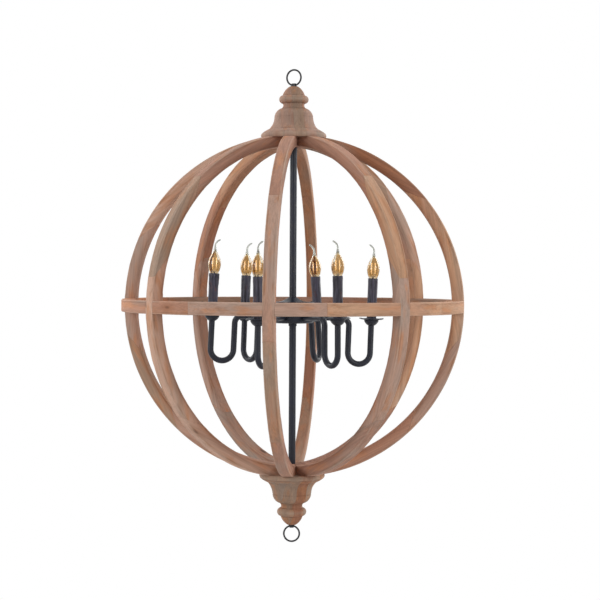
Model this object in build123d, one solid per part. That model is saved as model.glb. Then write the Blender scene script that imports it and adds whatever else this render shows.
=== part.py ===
from build123d import *
import os
from math import cos, radians, sin, sqrt, tan

# Orb chandelier, in millimetres. Eight wooden half ribs cross-lap over a wooden ring at the equator
# and meet at each pole on an eight-sided block, under a turned finial. A steel tube runs through
# both finials. It carries a ring at each end and, at the middle, a drum hub with six bent arms and
# their candle lights.
#
# Every piece is drawn about the orb's centre. An angle round the orb is counted from the front,
# which is -Y, towards +X. The pieces are then written with the origin at the hang point, the
# inside of the top ring, so that the orb hangs below it.

# Orb frame
ORB_RADIUS = 460.0
RIB_COUNT = 8
RIB_WIDTH = 30.5
RIB_DEPTH = 32.0
EQUATOR_HEIGHT = 33.0
EQUATOR_DEPTH = 32.0
WOOD_EDGE = 2.5
BLOCK_GAP = 0.4

# Finial outline: (radius, height above the flange's base), from the base to the top
FINIAL_FOOT = (85.9, 0.0)
FINIAL_NOSE = (88.0, 7.6)
FINIAL_FLANGE_TOP = (84.2, 13.2)
FINIAL_SLOPE = (76.6, 18.3)
FINIAL_COVE_START = (65.9, 23.8)
FINIAL_COVE = (56.4, 37.5)
FINIAL_BELL_START = (52.1, 55.9)
FINIAL_BELL = (46.9, 70.4)
FINIAL_BELL_END = (35.9, 79.2)
FINIAL_NECK = (28.6, 87.2)
FINIAL_BEAD_START = (30.2, 93.0)
FINIAL_BEAD = (39.7, 104.0)
FINIAL_BEAD_END = (30.2, 114.8)
FINIAL_KNOB = (22.6, 129.2)
FINIAL_TIP = (12.2, 138.5)

# Tube through the whole orb
STEM_RADIUS = 9.5
STEM_WALL = 2.75
STEM_END_SETBACK = 1.0
COLLAR_RADIUS = 11.2
COLLAR_HEIGHT = 8.0

# Rings and the eyes that hold them
RING_WIRE_RADIUS = 2.4
RING_OUTER_RADIUS = 23.25
RING_LIFT = 3.9
EYE_FLANGE_RADIUS = 10.0
EYE_FLANGE_HEIGHT = 1.2
EYE_WIDTH = 11.0
EYE_WALL = 1.9
EYE_CLEARANCE = 0.38
EYE_SHANK_LENGTH = 28.0
TOP_EYE_TURN = -18.0
BOTTOM_EYE_TURN = 7.0

# Hub
HUB_RADIUS = 57.5
HUB_WALL = 2.0
HUB_BOTTOM = -47.0
HUB_RIM = 8.0
HUB_CORNER = 9.0
COVER_EDGE = 2.0
COVER_RISE = 14.5
COVER_DISH = 5.2
COVER_LIP = 5.0

# Arms
ARM_RADIUS = 8.0
ARM_BORE = 5.5
ARM_LEVEL = -31.0
ARM_BEND = 20.0
U_BEND = 30.8
U_BOTTOM = -154.0
CANDLE_CIRCLE = 217.0
ARM_END = -48.0
NIPPLE_RADIUS = 5.0
NIPPLE_BORE = 3.6
NIPPLE_PLUG = 6.0
NIPPLE_REACH = 9.5
ARM_SEAT_GAP = 0.4
LEAD_RADIUS = 1.6
CABLE_RADIUS = 3.5
CABLE_START = 6.0
LEAD_HOLE = 2.4

# How each arm is set by hand: angle from the front, droop and twist at the hub, in degrees, and
# the direction that its bulb's tail points in, as an angle from the front
ARM_SETTINGS = [
    (40.0, -0.6, 0.0, 277.0),
    (107.0, 2.0, 0.0, 277.0),
    (168.5, 0.8, -4.0, 277.0),
    (225.6, 0.0, 2.3, 97.0),
    (280.0, -2.4, 0.0, 97.0),
    (343.0, 0.3, 0.0, 97.0),
]

# Candle lights
CUP_RADIUS = 19.5
CUP_HEIGHT = 15.0
CUP_LIP = 3.0
CUP_FOOT = 0.9
PAN_RADIUS = 33.0
PAN_FLOOR = 20.5
PAN_RISE = 4.4
PAN_THICKNESS = 1.8
SLEEVE_RADIUS = 13.0
SLEEVE_WALL = 1.2
SLEEVE_LENGTH = 111.0
HOLDER_GAP = 0.6
HOLDER_HEIGHT = 64.0
HOLDER_SOCKET = 8.0
CAP_RADIUS = 6.9
CAP_LENGTH = 19.5
CAP_RIM_RADIUS = 8.2
CAP_RIM_HEIGHT = 1.5
CAP_CLEARANCE = 0.3

# Bulb, from the sleeve's top edge
BULB_GAP = 0.6
BULB_TAPER = 2.9
BULB_MOUTH = (SLEEVE_RADIUS - SLEEVE_WALL - BULB_GAP, 0.0)
BULB_NECK = (BULB_MOUTH[0] - BULB_TAPER, -14.0)
BULB_SHOULDER = (15.1, 10.5)
BULB_BELLY = (17.2, 23.5)
BULB_UPPER = (15.1, 38.0)
BULB_CONE = (8.7, 51.5)
BULB_TOP = (2.6, 68.0)
BULB_WALL = 1.0
BULB_CAVITY_TOP = 64.0
TAIL_RADIUS = 2.5
TAIL_STRAIGHT = 8.0
TAIL_BEND = 20.0
TAIL_TURN = 65.0
MOUNT_GAP = 1.9
MOUNT_RADIUS = BULB_NECK[0] - BULB_WALL - MOUNT_GAP
MOUNT_TOP = 6.0
FILAMENT_COUNT = 4
FILAMENT_CIRCLE = 4.6
FILAMENT_RADIUS = 0.9
FILAMENT_TOP = 42.0
SPIDER_RADIUS = 6.0
SPIDER_HEIGHT = 1.0

# Fasteners
SCREW_RADIUS = 2.0
SCREW_HEAD_RADIUS = 4.0
SCREW_HEAD_HEIGHT = 2.6
SCREW_SLOT = 1.0
SCREW_RECESS = 4.0
SCREW_BITE = 11.0
POLE_SCREW_CIRCLE = 62.0
ARM_NUT_FLATS = 14.0
ARM_NUT_HEIGHT = 4.0
ARM_NUT_SETBACK = 1.0
STEM_NUT_FLATS = 27.0
STEM_NUT_HEIGHT = 6.0
FIT = 0.1
HEAD_GAP = 0.3

# Sizes that follow
RIB_ANGLES = [360.0 / RIB_COUNT * i for i in range(RIB_COUNT)]
LAP_RADIUS = ORB_RADIUS - RIB_DEPTH / 2
RIB_INSIDE = ORB_RADIUS - RIB_DEPTH
POLE_FLAT = sqrt(ORB_RADIUS**2 - FINIAL_NOSE[0] ** 2)
BLOCK_APOTHEM = RIB_WIDTH / 2 / tan(radians(180.0 / RIB_COUNT)) + BLOCK_GAP
BLOCK_BOTTOM = sqrt(RIB_INSIDE**2 - BLOCK_APOTHEM**2)
STEM_HOLE = STEM_RADIUS + FIT
STEM_BORE = STEM_RADIUS - STEM_WALL
APEX = POLE_FLAT + FINIAL_TIP[1]
STEM_END = APEX - STEM_END_SETBACK
RING_MAJOR = RING_OUTER_RADIUS - RING_WIRE_RADIUS
RING_CENTRE = APEX + RING_LIFT + RING_MAJOR
EYE_SAG = RING_MAJOR - sqrt(RING_MAJOR**2 - (EYE_WIDTH / 2) ** 2)
EYE_AXIS = APEX + RING_LIFT + EYE_SAG / 2
EYE_HOLE = RING_WIRE_RADIUS + EYE_SAG / 2 + EYE_CLEARANCE
HANG_POINT = RING_CENTRE + RING_MAJOR - RING_WIRE_RADIUS
HUB_INSIDE = HUB_RADIUS - HUB_WALL
DROP_CIRCLE = CANDLE_CIRCLE - 2 * U_BEND
CUP_TOP = ARM_END + CUP_HEIGHT
PAN_TOP = CUP_TOP + PAN_THICKNESS
SLEEVE_TOP = PAN_TOP + SLEEVE_LENGTH
SLEEVE_INSIDE = SLEEVE_RADIUS - SLEEVE_WALL
CAP_TOP = SLEEVE_TOP + BULB_NECK[1]
CAP_TIP = CAP_TOP - CAP_LENGTH
HOLDER_TOP = CAP_TOP - CAP_RIM_HEIGHT - CAP_CLEARANCE
HOLDER_BOTTOM = HOLDER_TOP - HOLDER_HEIGHT
HOLDER_SOCKET_TOP = HOLDER_BOTTOM + HOLDER_SOCKET
NIPPLE_TOP = HOLDER_SOCKET_TOP - HEAD_GAP
NUT_FACE = HUB_INSIDE - ARM_NUT_SETBACK


def write(name, *solids):
    """Writes the solids of one node, moved down so that the hang point is the origin."""
    placed = [Pos(0, 0, -HANG_POINT) * solid for solid in solids]
    shape = placed[0] if len(placed) == 1 else Compound(children=placed)
    export_step(shape, f"parts/{name}.step")


def round_to(angle):
    """Turns +X to the direction that is angle degrees round from the front."""
    return Rot(0, 0, angle - 90)


def box_between(x, y, z):
    """A box from three (low, high) pairs."""
    middle = Pos(sum(x) / 2, sum(y) / 2, sum(z) / 2)
    return middle * Box(x[1] - x[0], y[1] - y[0], z[1] - z[0])


def disc(radius, low, high):
    """A cylinder about Z from one height to another."""
    return Pos(0, 0, (low + high) / 2) * Cylinder(radius, high - low)


def rod(radius, start, end, height):
    """A cylinder along X, at a height above the orb's centre."""
    return Pos((start + end) / 2, 0, height) * Rot(0, 90, 0) * Cylinder(radius, end - start)


def hex_nut(flats, hole, height):
    """A six-sided nut about Z, standing on Z = 0."""
    blank = extrude(RegularPolygon(flats / 2, 6, major_radius=False), height)
    return blank - disc(hole, -height, 2 * height)


def turned(*edges):
    """A solid turned about Z from the edges of its half outline in the XZ plane."""
    return revolve(make_face(Wire(list(edges))), Axis.Z)


def at(point):
    """A point of the XZ plane from its (radius, height) pair."""
    return (point[0], 0, point[1])


def arc(*points):
    """A round stretch of an outline through three (radius, height) pairs."""
    return Edge.make_three_point_arc(*[Vector(at(p)) for p in points])


def line(start, end):
    """A straight stretch of an outline between two (radius, height) pairs."""
    return Edge.make_line(Vector(at(start)), Vector(at(end)))


def lines(*points):
    """Straight stretches through any number of (radius, height) pairs."""
    return [line(a, b) for a, b in zip(points, points[1:])]


# ---------------------------------------------------------------- wooden frame


def screw(bite):
    """A slotted wood screw: its head below Z = 0, its shank up to Z = bite."""
    head = disc(SCREW_HEAD_RADIUS, -SCREW_HEAD_HEIGHT, 0)
    slot = box_between(
        (-SCREW_HEAD_RADIUS, SCREW_HEAD_RADIUS),
        (-SCREW_SLOT / 2, SCREW_SLOT / 2),
        (-SCREW_HEAD_HEIGHT, SCREW_SLOT - SCREW_HEAD_HEIGHT),
    )
    return head + disc(SCREW_RADIUS, 0, bite) - slot


def screw_room(bite, recess):
    """The hole that a screw goes into, with the recess for its head."""
    shank = disc(SCREW_RADIUS + FIT, 0, bite + HEAD_GAP)
    return shank + disc(SCREW_HEAD_RADIUS + HEAD_GAP, -recess - SCREW_HEAD_RADIUS, 0)


POLE_SCREW_SEAT = sqrt(RIB_INSIDE**2 - POLE_SCREW_CIRCLE**2) + SCREW_RECESS
POLE_SCREW_BITE = POLE_FLAT - POLE_SCREW_SEAT + SCREW_BITE
LAP_SCREW_SEAT = ORB_RADIUS - EQUATOR_DEPTH + SCREW_RECESS
LAP_SCREW_BITE = LAP_RADIUS - LAP_SCREW_SEAT + SCREW_BITE
POLE_SCREW_PLACE = Pos(POLE_SCREW_CIRCLE, 0, POLE_SCREW_SEAT)
LAP_SCREW_PLACE = Pos(LAP_SCREW_SEAT, 0, 0) * Rot(0, 90, 0)
FLIP = Rot(180, 0, 0)


def rib():
    """A half rib in the XZ plane, with its end faces, its lap and its screw holes."""
    middle = (ORB_RADIUS + RIB_INSIDE) / 2
    section = Pos(-middle, 0) * RectangleRounded(RIB_DEPTH, RIB_WIDTH, WOOD_EDGE)
    hoop = revolve(section, Axis.Y)
    half = hoop & box_between(
        (BLOCK_APOTHEM, ORB_RADIUS + RIB_DEPTH),
        (-RIB_WIDTH, RIB_WIDTH),
        (-POLE_FLAT, POLE_FLAT),
    )
    lap = box_between(
        (RIB_INSIDE - RIB_DEPTH, LAP_RADIUS),
        (-RIB_WIDTH, RIB_WIDTH),
        (-EQUATOR_HEIGHT / 2, EQUATOR_HEIGHT / 2),
    )
    pole_hole = POLE_SCREW_PLACE * screw_room(POLE_SCREW_BITE, SCREW_RECESS)
    lap_hole = LAP_SCREW_PLACE * screw_room(LAP_SCREW_BITE, SCREW_RECESS)
    return half - lap - pole_hole - FLIP * pole_hole - lap_hole


def equator_ring():
    """The ring at the equator, with a pocket outside for each rib and a screw hole inside."""
    middle = ORB_RADIUS - EQUATOR_DEPTH / 2
    section = Pos(middle, 0) * RectangleRounded(EQUATOR_DEPTH, EQUATOR_HEIGHT, WOOD_EDGE)
    ring = revolve(Plane.XZ * section, Axis.Z)
    pocket = box_between(
        (LAP_RADIUS, ORB_RADIUS + RIB_DEPTH),
        (-RIB_WIDTH / 2, RIB_WIDTH / 2),
        (-EQUATOR_HEIGHT, EQUATOR_HEIGHT),
    )
    hole = LAP_SCREW_PLACE * screw_room(LAP_SCREW_BITE, SCREW_RECESS)
    for angle in RIB_ANGLES:
        ring = ring - round_to(angle) * pocket
        ring = ring - round_to(angle) * hole
    return ring


def pole_block():
    """The eight-sided block that the ribs' ends meet, at the top pole."""
    outline = RegularPolygon(
        BLOCK_APOTHEM - FIT, RIB_COUNT, major_radius=False, rotation=180.0 / RIB_COUNT
    )
    block = Pos(0, 0, BLOCK_BOTTOM) * extrude(outline, POLE_FLAT - BLOCK_BOTTOM)
    return block - disc(STEM_HOLE, BLOCK_BOTTOM - RIB_DEPTH, POLE_FLAT + RIB_DEPTH)


def finial():
    """The turned finial, standing on the planed ribs at the top pole."""
    inner_foot = (STEM_HOLE, 0.0)
    inner_tip = (STEM_HOLE, FINIAL_TIP[1])
    solid = turned(
        line(inner_foot, FINIAL_FOOT),
        arc(FINIAL_FOOT, FINIAL_NOSE, FINIAL_FLANGE_TOP),
        arc(FINIAL_FLANGE_TOP, FINIAL_SLOPE, FINIAL_COVE_START),
        arc(FINIAL_COVE_START, FINIAL_COVE, FINIAL_BELL_START),
        arc(FINIAL_BELL_START, FINIAL_BELL, FINIAL_BELL_END),
        arc(FINIAL_BELL_END, FINIAL_NECK, FINIAL_BEAD_START),
        arc(FINIAL_BEAD_START, FINIAL_BEAD, FINIAL_BEAD_END),
        arc(FINIAL_BEAD_END, FINIAL_KNOB, FINIAL_TIP),
        *lines(FINIAL_TIP, inner_tip, inner_foot),
    )
    solid = Pos(0, 0, POLE_FLAT) * solid
    hole = POLE_SCREW_PLACE * disc(SCREW_RADIUS + FIT, 0, POLE_SCREW_BITE + HEAD_GAP)
    for angle in RIB_ANGLES:
        solid = solid - round_to(angle) * hole
    return solid


def wood_screws():
    """One screw through each rib into each finial, and one through each lap."""
    pole = POLE_SCREW_PLACE * screw(POLE_SCREW_BITE)
    lap = LAP_SCREW_PLACE * screw(LAP_SCREW_BITE)
    return [round_to(a) * s for a in RIB_ANGLES for s in (pole, FLIP * pole, lap)]


# ---------------------------------------------------------------- tube, eyes and rings


def eye():
    """The screwed eye on the top finial: its hole runs along X."""
    flange = disc(EYE_FLANGE_RADIUS, APEX, APEX + EYE_FLANGE_HEIGHT)
    shank = disc(STEM_BORE - FIT, APEX - EYE_SHANK_LENGTH, APEX)
    outside = EYE_HOLE + EYE_WALL
    lug = box_between((-EYE_WIDTH / 2, EYE_WIDTH / 2), (-outside, outside), (APEX, EYE_AXIS))
    crown = rod(outside, -EYE_WIDTH / 2, EYE_WIDTH / 2, EYE_AXIS)
    return flange + shank + lug + crown - rod(EYE_HOLE, -EYE_WIDTH, EYE_WIDTH, EYE_AXIS)


def ring():
    """The wire ring that hangs through the top eye, in the XZ plane."""
    return Pos(0, 0, RING_CENTRE) * Rot(90, 0, 0) * Torus(RING_MAJOR, RING_WIRE_RADIUS)


def stem(arm_places):
    """The tube, with the collar under the hub and a hole for each arm's lead."""
    tube = disc(STEM_RADIUS, -STEM_END, STEM_END)
    tube = tube + disc(COLLAR_RADIUS, HUB_BOTTOM - COLLAR_HEIGHT, HUB_BOTTOM)
    tube = tube - disc(STEM_BORE, -APEX, APEX)
    for place in arm_places:
        tube = tube - place * rod(LEAD_HOLE, STEM_BORE / 2, 2 * STEM_RADIUS, ARM_LEVEL)
    return tube


# ---------------------------------------------------------------- hub


def hub_body(arm_places):
    """The drum's lower shell, with a hole for each arm."""
    floor = HUB_BOTTOM + HUB_WALL
    outer_turn = HUB_RADIUS - HUB_CORNER
    outer_mid = (outer_turn + HUB_CORNER * sqrt(0.5), HUB_BOTTOM + HUB_CORNER * (1 - sqrt(0.5)))
    inner_corner = HUB_CORNER - HUB_WALL
    inner_mid = (outer_turn + inner_corner * sqrt(0.5), floor + inner_corner * (1 - sqrt(0.5)))
    side_foot = HUB_BOTTOM + HUB_CORNER
    shell = turned(
        line((STEM_HOLE, HUB_BOTTOM), (outer_turn, HUB_BOTTOM)),
        arc((outer_turn, HUB_BOTTOM), outer_mid, (HUB_RADIUS, side_foot)),
        *lines(
            (HUB_RADIUS, side_foot),
            (HUB_RADIUS, HUB_RIM),
            (HUB_INSIDE, HUB_RIM),
            (HUB_INSIDE, side_foot),
        ),
        arc((HUB_INSIDE, side_foot), inner_mid, (outer_turn, floor)),
        *lines((outer_turn, floor), (STEM_HOLE, floor), (STEM_HOLE, HUB_BOTTOM)),
    )
    for place in arm_places:
        wall = rod(NIPPLE_RADIUS + FIT, HUB_INSIDE - HUB_WALL, HUB_RADIUS + HUB_WALL, ARM_LEVEL)
        shell = shell - place * wall
    return shell


def hub_cover():
    """The drum's dished lid, with a lip that drops inside the shell."""
    edge = HUB_RIM + COVER_EDGE
    top = HUB_RIM + COVER_RISE
    crown = STEM_HOLE + COVER_EDGE
    middle = (HUB_RADIUS + crown) / 2
    dish = (edge + top) / 2 - COVER_DISH
    lip_outside = HUB_INSIDE - FIT
    lip_inside = lip_outside - HUB_WALL
    return turned(
        line((HUB_RADIUS, HUB_RIM), (HUB_RADIUS, edge)),
        arc((HUB_RADIUS, edge), (middle, dish), (crown, top)),
        line((crown, top), (STEM_HOLE, top)),
        line((STEM_HOLE, top), (STEM_HOLE, top - HUB_WALL)),
        arc(
            (STEM_HOLE, top - HUB_WALL),
            (middle - COVER_EDGE, dish - HUB_WALL),
            (lip_inside, HUB_RIM),
        ),
        *lines(
            (lip_inside, HUB_RIM),
            (lip_inside, HUB_RIM - COVER_LIP),
            (lip_outside, HUB_RIM - COVER_LIP),
            (lip_outside, HUB_RIM),
            (HUB_RADIUS, HUB_RIM),
        ),
    )


def hub_nuts(arm_places):
    """One nut on each arm's inner end, and one on the tube that clamps the hub to its collar."""
    blank = hex_nut(ARM_NUT_FLATS, NIPPLE_RADIUS + FIT, ARM_NUT_HEIGHT)
    arm_nut = Pos(NUT_FACE - ARM_NUT_HEIGHT, 0, ARM_LEVEL) * Rot(0, 90, 0) * blank
    stem_nut = Pos(0, 0, HUB_BOTTOM + HUB_WALL) * hex_nut(
        STEM_NUT_FLATS, STEM_HOLE, STEM_NUT_HEIGHT
    )
    return [place * arm_nut for place in arm_places] + [stem_nut]


# ---------------------------------------------------------------- arms


def arm_place(angle, droop, twist):
    """Where an arm drawn along +X goes, turned a little at the point where it enters the hub."""
    root = Pos(HUB_RADIUS, 0, ARM_LEVEL)
    back = Pos(-HUB_RADIUS, 0, -ARM_LEVEL)
    return round_to(angle) * root * Rot(twist, droop, 0) * back


def arm_route(start, end):
    """The arm's centre line in the XZ plane, from a radius in the hub to a height at the candle."""
    drop_top = ARM_LEVEL - ARM_BEND
    elbow = ARM_BEND * (1 - sqrt(0.5))
    u_top = U_BOTTOM + U_BEND
    return Wire(
        [
            line((start, ARM_LEVEL), (DROP_CIRCLE - ARM_BEND, ARM_LEVEL)),
            arc(
                (DROP_CIRCLE - ARM_BEND, ARM_LEVEL),
                (DROP_CIRCLE - elbow, ARM_LEVEL - elbow),
                (DROP_CIRCLE, drop_top),
            ),
            line((DROP_CIRCLE, drop_top), (DROP_CIRCLE, u_top)),
            arc(
                (DROP_CIRCLE, u_top),
                (DROP_CIRCLE + U_BEND, U_BOTTOM),
                (CANDLE_CIRCLE, u_top),
            ),
            line((CANDLE_CIRCLE, u_top), (CANDLE_CIRCLE, end)),
        ]
    )


def along(route, radius):
    """A round bar along a route that starts in the X direction."""
    section = Plane(origin=route @ 0, z_dir=route % 0) * Circle(radius)
    return sweep(section, path=route)


def candle(solid):
    """Moves a solid drawn about Z to the candle's axis."""
    return Pos(CANDLE_CIRCLE, 0, 0) * solid


def arm():
    """The bent tube, with a threaded nipple in each end."""
    seat = HUB_RADIUS + ARM_SEAT_GAP
    route = arm_route(seat, ARM_END)
    tube = along(route, ARM_RADIUS) - along(route, ARM_BORE)
    inner = rod(NIPPLE_RADIUS, HUB_RADIUS - NIPPLE_REACH, seat, ARM_LEVEL)
    inner = inner + rod(ARM_BORE, seat, seat + NIPPLE_PLUG, ARM_LEVEL)
    inner = inner - rod(NIPPLE_BORE, 0, seat + 2 * NIPPLE_PLUG, ARM_LEVEL)
    outer = disc(NIPPLE_RADIUS, ARM_END, NIPPLE_TOP)
    outer = outer + disc(ARM_BORE, ARM_END - NIPPLE_PLUG, ARM_END)
    outer = outer - disc(NIPPLE_BORE, ARM_END - 2 * NIPPLE_PLUG, NIPPLE_TOP + NIPPLE_PLUG)
    return tube + inner + candle(outer)


def lead():
    """The wire from the lampholder through the arm and the hub into the tube."""
    return along(arm_route(STEM_BORE + HEAD_GAP, HOLDER_SOCKET_TOP), LEAD_RADIUS)


def cable():
    """The supply cable inside the tube, from the leads' holes to the top eye's shank."""
    return disc(CABLE_RADIUS, ARM_LEVEL + CABLE_START, APEX - EYE_SHANK_LENGTH)


# ---------------------------------------------------------------- candle lights


def cup():
    """The turned cup at the arm's end, under the pan."""
    bore = NIPPLE_RADIUS + FIT
    foot = ARM_RADIUS + CUP_FOOT
    belly = ((foot + CUP_RADIUS) / 2 + CUP_FOOT, ARM_END + (CUP_HEIGHT - CUP_LIP) / 2 - CUP_FOOT)
    return turned(
        line((bore, ARM_END), (foot, ARM_END)),
        arc((foot, ARM_END), belly, (CUP_RADIUS, CUP_TOP - CUP_LIP)),
        *lines(
            (CUP_RADIUS, CUP_TOP - CUP_LIP),
            (CUP_RADIUS, CUP_TOP),
            (bore, CUP_TOP),
            (bore, ARM_END),
        ),
    )


def pan():
    """The dished drip pan that the sleeve stands on."""
    bore = NIPPLE_RADIUS + FIT
    rim = CUP_TOP + PAN_RISE
    middle = (PAN_FLOOR + PAN_RADIUS) / 2
    sag = PAN_RISE / 3
    return turned(
        line((bore, CUP_TOP), (PAN_FLOOR, CUP_TOP)),
        arc((PAN_FLOOR, CUP_TOP), (middle, CUP_TOP + sag), (PAN_RADIUS, rim)),
        line((PAN_RADIUS, rim), (PAN_RADIUS, rim + PAN_THICKNESS)),
        arc((PAN_RADIUS, rim + PAN_THICKNESS), (middle, PAN_TOP + sag), (PAN_FLOOR, PAN_TOP)),
        *lines((PAN_FLOOR, PAN_TOP), (bore, PAN_TOP), (bore, CUP_TOP)),
    )


def sleeve():
    """The candle sleeve, an open tube on the pan."""
    tube = disc(SLEEVE_RADIUS, PAN_TOP, SLEEVE_TOP)
    return tube - disc(SLEEVE_INSIDE, PAN_TOP - SLEEVE_WALL, SLEEVE_TOP + SLEEVE_WALL)


def lampholder():
    """The lampholder inside the sleeve, on the arm's upper nipple."""
    body = disc(SLEEVE_INSIDE - HOLDER_GAP, HOLDER_BOTTOM, HOLDER_TOP)
    well = disc(CAP_RADIUS + CAP_CLEARANCE, CAP_TIP - CAP_CLEARANCE, HOLDER_TOP + CAP_LENGTH)
    socket = disc(NIPPLE_RADIUS + FIT, HOLDER_BOTTOM - HOLDER_SOCKET, HOLDER_SOCKET_TOP)
    return body - well - socket


def bulb_body(inset, top):
    """The bulb's glass as a solid about Z, its side moved in by a wall and ending at a top point."""
    sides = (BULB_NECK, BULB_MOUTH, BULB_SHOULDER, BULB_BELLY, BULB_UPPER, BULB_CONE)
    stations = [(radius - inset, height) for radius, height in sides] + [top]
    side = Edge.make_spline([Vector(at(station)) for station in stations])
    foot = (0.0, BULB_NECK[1])
    peak = (0.0, top[1])
    closing = lines(top, peak, foot) if top[0] else lines(top, foot)
    return turned(line(foot, stations[0]), side, *closing)


def bulb_tail():
    """The drawn-out tail of the glass, bent towards +X."""
    bend_start = BULB_TOP[1] + TAIL_STRAIGHT / 2

    def on_bend(turn):
        """A point of the tail's bend, after a turn in degrees."""
        across = TAIL_BEND * (1 - cos(radians(turn)))
        return (across, bend_start + TAIL_BEND * sin(radians(turn)))

    route = Wire(
        [
            line((0.0, BULB_TOP[1] - TAIL_STRAIGHT / 2), (0.0, bend_start)),
            arc(on_bend(0), on_bend(TAIL_TURN / 2), on_bend(TAIL_TURN)),
        ]
    )
    return along(route, TAIL_RADIUS) + Pos(*at(on_bend(TAIL_TURN))) * Sphere(TAIL_RADIUS)


def bulb_glass():
    """The hollow flame-shaped glass, from the sleeve's top edge, its tail bent towards +X."""
    cavity = bulb_body(BULB_WALL, (0.0, BULB_CAVITY_TOP))
    return bulb_body(0.0, BULB_TOP) + bulb_tail() - cavity


def bulb_core():
    """The screw cap under the glass, with the glass mount and the filaments inside it."""
    foot = BULB_NECK[1]
    tip = foot - CAP_LENGTH
    contact = disc(CAP_RADIUS / 2, tip, tip + CAP_RIM_HEIGHT)
    cap = disc(CAP_RADIUS, tip + CAP_RIM_HEIGHT, foot) + contact
    rim = disc(CAP_RIM_RADIUS, foot - CAP_RIM_HEIGHT, foot)
    mount_middle = (foot + MOUNT_TOP) / 2
    mount = Pos(0, 0, mount_middle) * Cone(MOUNT_RADIUS, MOUNT_RADIUS / 2, MOUNT_TOP - foot)
    core = cap + rim + mount + disc(SPIDER_RADIUS, MOUNT_TOP - SPIDER_HEIGHT, MOUNT_TOP)
    filament = Pos(FILAMENT_CIRCLE, 0, 0) * disc(FILAMENT_RADIUS, MOUNT_TOP, FILAMENT_TOP)
    for i in range(FILAMENT_COUNT):
        core = core + Rot(0, 0, 360.0 / FILAMENT_COUNT * i) * filament
    return core


# ---------------------------------------------------------------- build

os.makedirs("parts", exist_ok=True)

one_rib = rib()
for i, angle in enumerate(RIB_ANGLES, 1):
    write(f"rib_{i}", round_to(angle) * one_rib)
write("equator_ring", equator_ring())
write("wood_screws", *wood_screws())
block = pole_block()
write("top_block", block)
write("bottom_block", FLIP * block)
one_finial = finial()
write("top_finial", one_finial)
write("bottom_finial", FLIP * one_finial)

write("top_eye", Rot(0, 0, TOP_EYE_TURN) * eye())
write("bottom_eye", Rot(0, 0, BOTTOM_EYE_TURN) * FLIP * eye())
write("top_ring", Rot(0, 0, TOP_EYE_TURN) * ring())
write("bottom_ring", Rot(0, 0, BOTTOM_EYE_TURN) * FLIP * ring())

places = [arm_place(angle, droop, twist) for angle, droop, twist, _ in ARM_SETTINGS]
write("stem", stem(places))
write("hub_body", hub_body(places))
write("hub_cover", hub_cover())
write("hub_nuts", *hub_nuts(places))
write("wiring", *[place * lead() for place in places], cable())
write("lampholders", *[place * candle(lampholder()) for place in places])

one_arm = arm()
glass = bulb_glass()
core = bulb_core()
for i, place in enumerate(places, 1):
    angle, _, _, tail = ARM_SETTINGS[i - 1]
    bulb_place = place * Pos(CANDLE_CIRCLE, 0, SLEEVE_TOP) * Rot(0, 0, tail - angle)
    write(f"arm_{i}", place * one_arm)
    write(f"cup_{i}", place * candle(cup()))
    write(f"pan_{i}", place * candle(pan()))
    write(f"sleeve_{i}", place * candle(sleeve()))
    write(f"bulb_glass_{i}", bulb_place * glass)
    write(f"bulb_core_{i}", bulb_place * core)
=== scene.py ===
import math
import random
from math import cos, pi, radians, sin

import bmesh
import bpy
import numpy as np
from mathutils import Matrix, Vector, noise


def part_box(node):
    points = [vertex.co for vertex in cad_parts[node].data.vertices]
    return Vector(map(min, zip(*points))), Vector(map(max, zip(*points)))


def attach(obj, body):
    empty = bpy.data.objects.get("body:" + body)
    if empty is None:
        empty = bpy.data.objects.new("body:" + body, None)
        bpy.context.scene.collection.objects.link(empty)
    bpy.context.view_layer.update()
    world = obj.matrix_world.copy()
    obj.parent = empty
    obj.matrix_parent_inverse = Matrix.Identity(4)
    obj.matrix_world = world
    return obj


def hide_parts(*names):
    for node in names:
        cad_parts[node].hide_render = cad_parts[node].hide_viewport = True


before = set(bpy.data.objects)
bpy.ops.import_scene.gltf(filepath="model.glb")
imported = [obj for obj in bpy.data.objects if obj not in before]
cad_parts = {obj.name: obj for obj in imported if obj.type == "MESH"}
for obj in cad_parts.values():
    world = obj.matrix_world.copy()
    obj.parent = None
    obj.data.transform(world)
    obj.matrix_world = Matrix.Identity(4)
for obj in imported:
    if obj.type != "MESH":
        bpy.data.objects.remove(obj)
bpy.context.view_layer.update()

# Lengths are millimetres about the orb's centre, as the drawing has them, until a mesh is made.
MM = 0.001
ARC_STEP = 1.5
ring_low, ring_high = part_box("equator_ring")
CENTRE = (ring_low + ring_high) / 2
TO_WORLD = Matrix.Translation(CENTRE) @ Matrix.Scale(MM, 4)

ORB_RADIUS = 460.0
RIB_WIDTH = 30.5
RIB_DEPTH = 32.0
BAND_HEIGHT = 33.0
RIB_INSIDE = ORB_RADIUS - RIB_DEPTH
LAP_RADIUS = ORB_RADIUS - RIB_DEPTH / 2
LAP_ROOM = 0.1
POLE_FLAT = 451.5
POLE_FACE = 37.22
APEX = 590.0
ARRIS = 2.6
SHARP_ARRIS = 0.45
SEAM_GROOVE = 0.5
POLE_SCREW_CIRCLE = 62.0
SCREW_SEAT = 4.0
SCREW_RECESS = 4.3

BORE = 9.6
STEM_RADIUS = 9.5
STEM_BORE = 6.75
COLLAR_RADIUS = 11.2
COLLAR_HEIGHT = 8.0
COLLAR_CHAMFER = 0.7
RING_MAJOR = 20.85
RING_WIRE = 2.4
RING_CENTRE = APEX + 3.9 + RING_MAJOR
RING_TURNS = {"top": -18.0, "bottom": 7.0}

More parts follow.
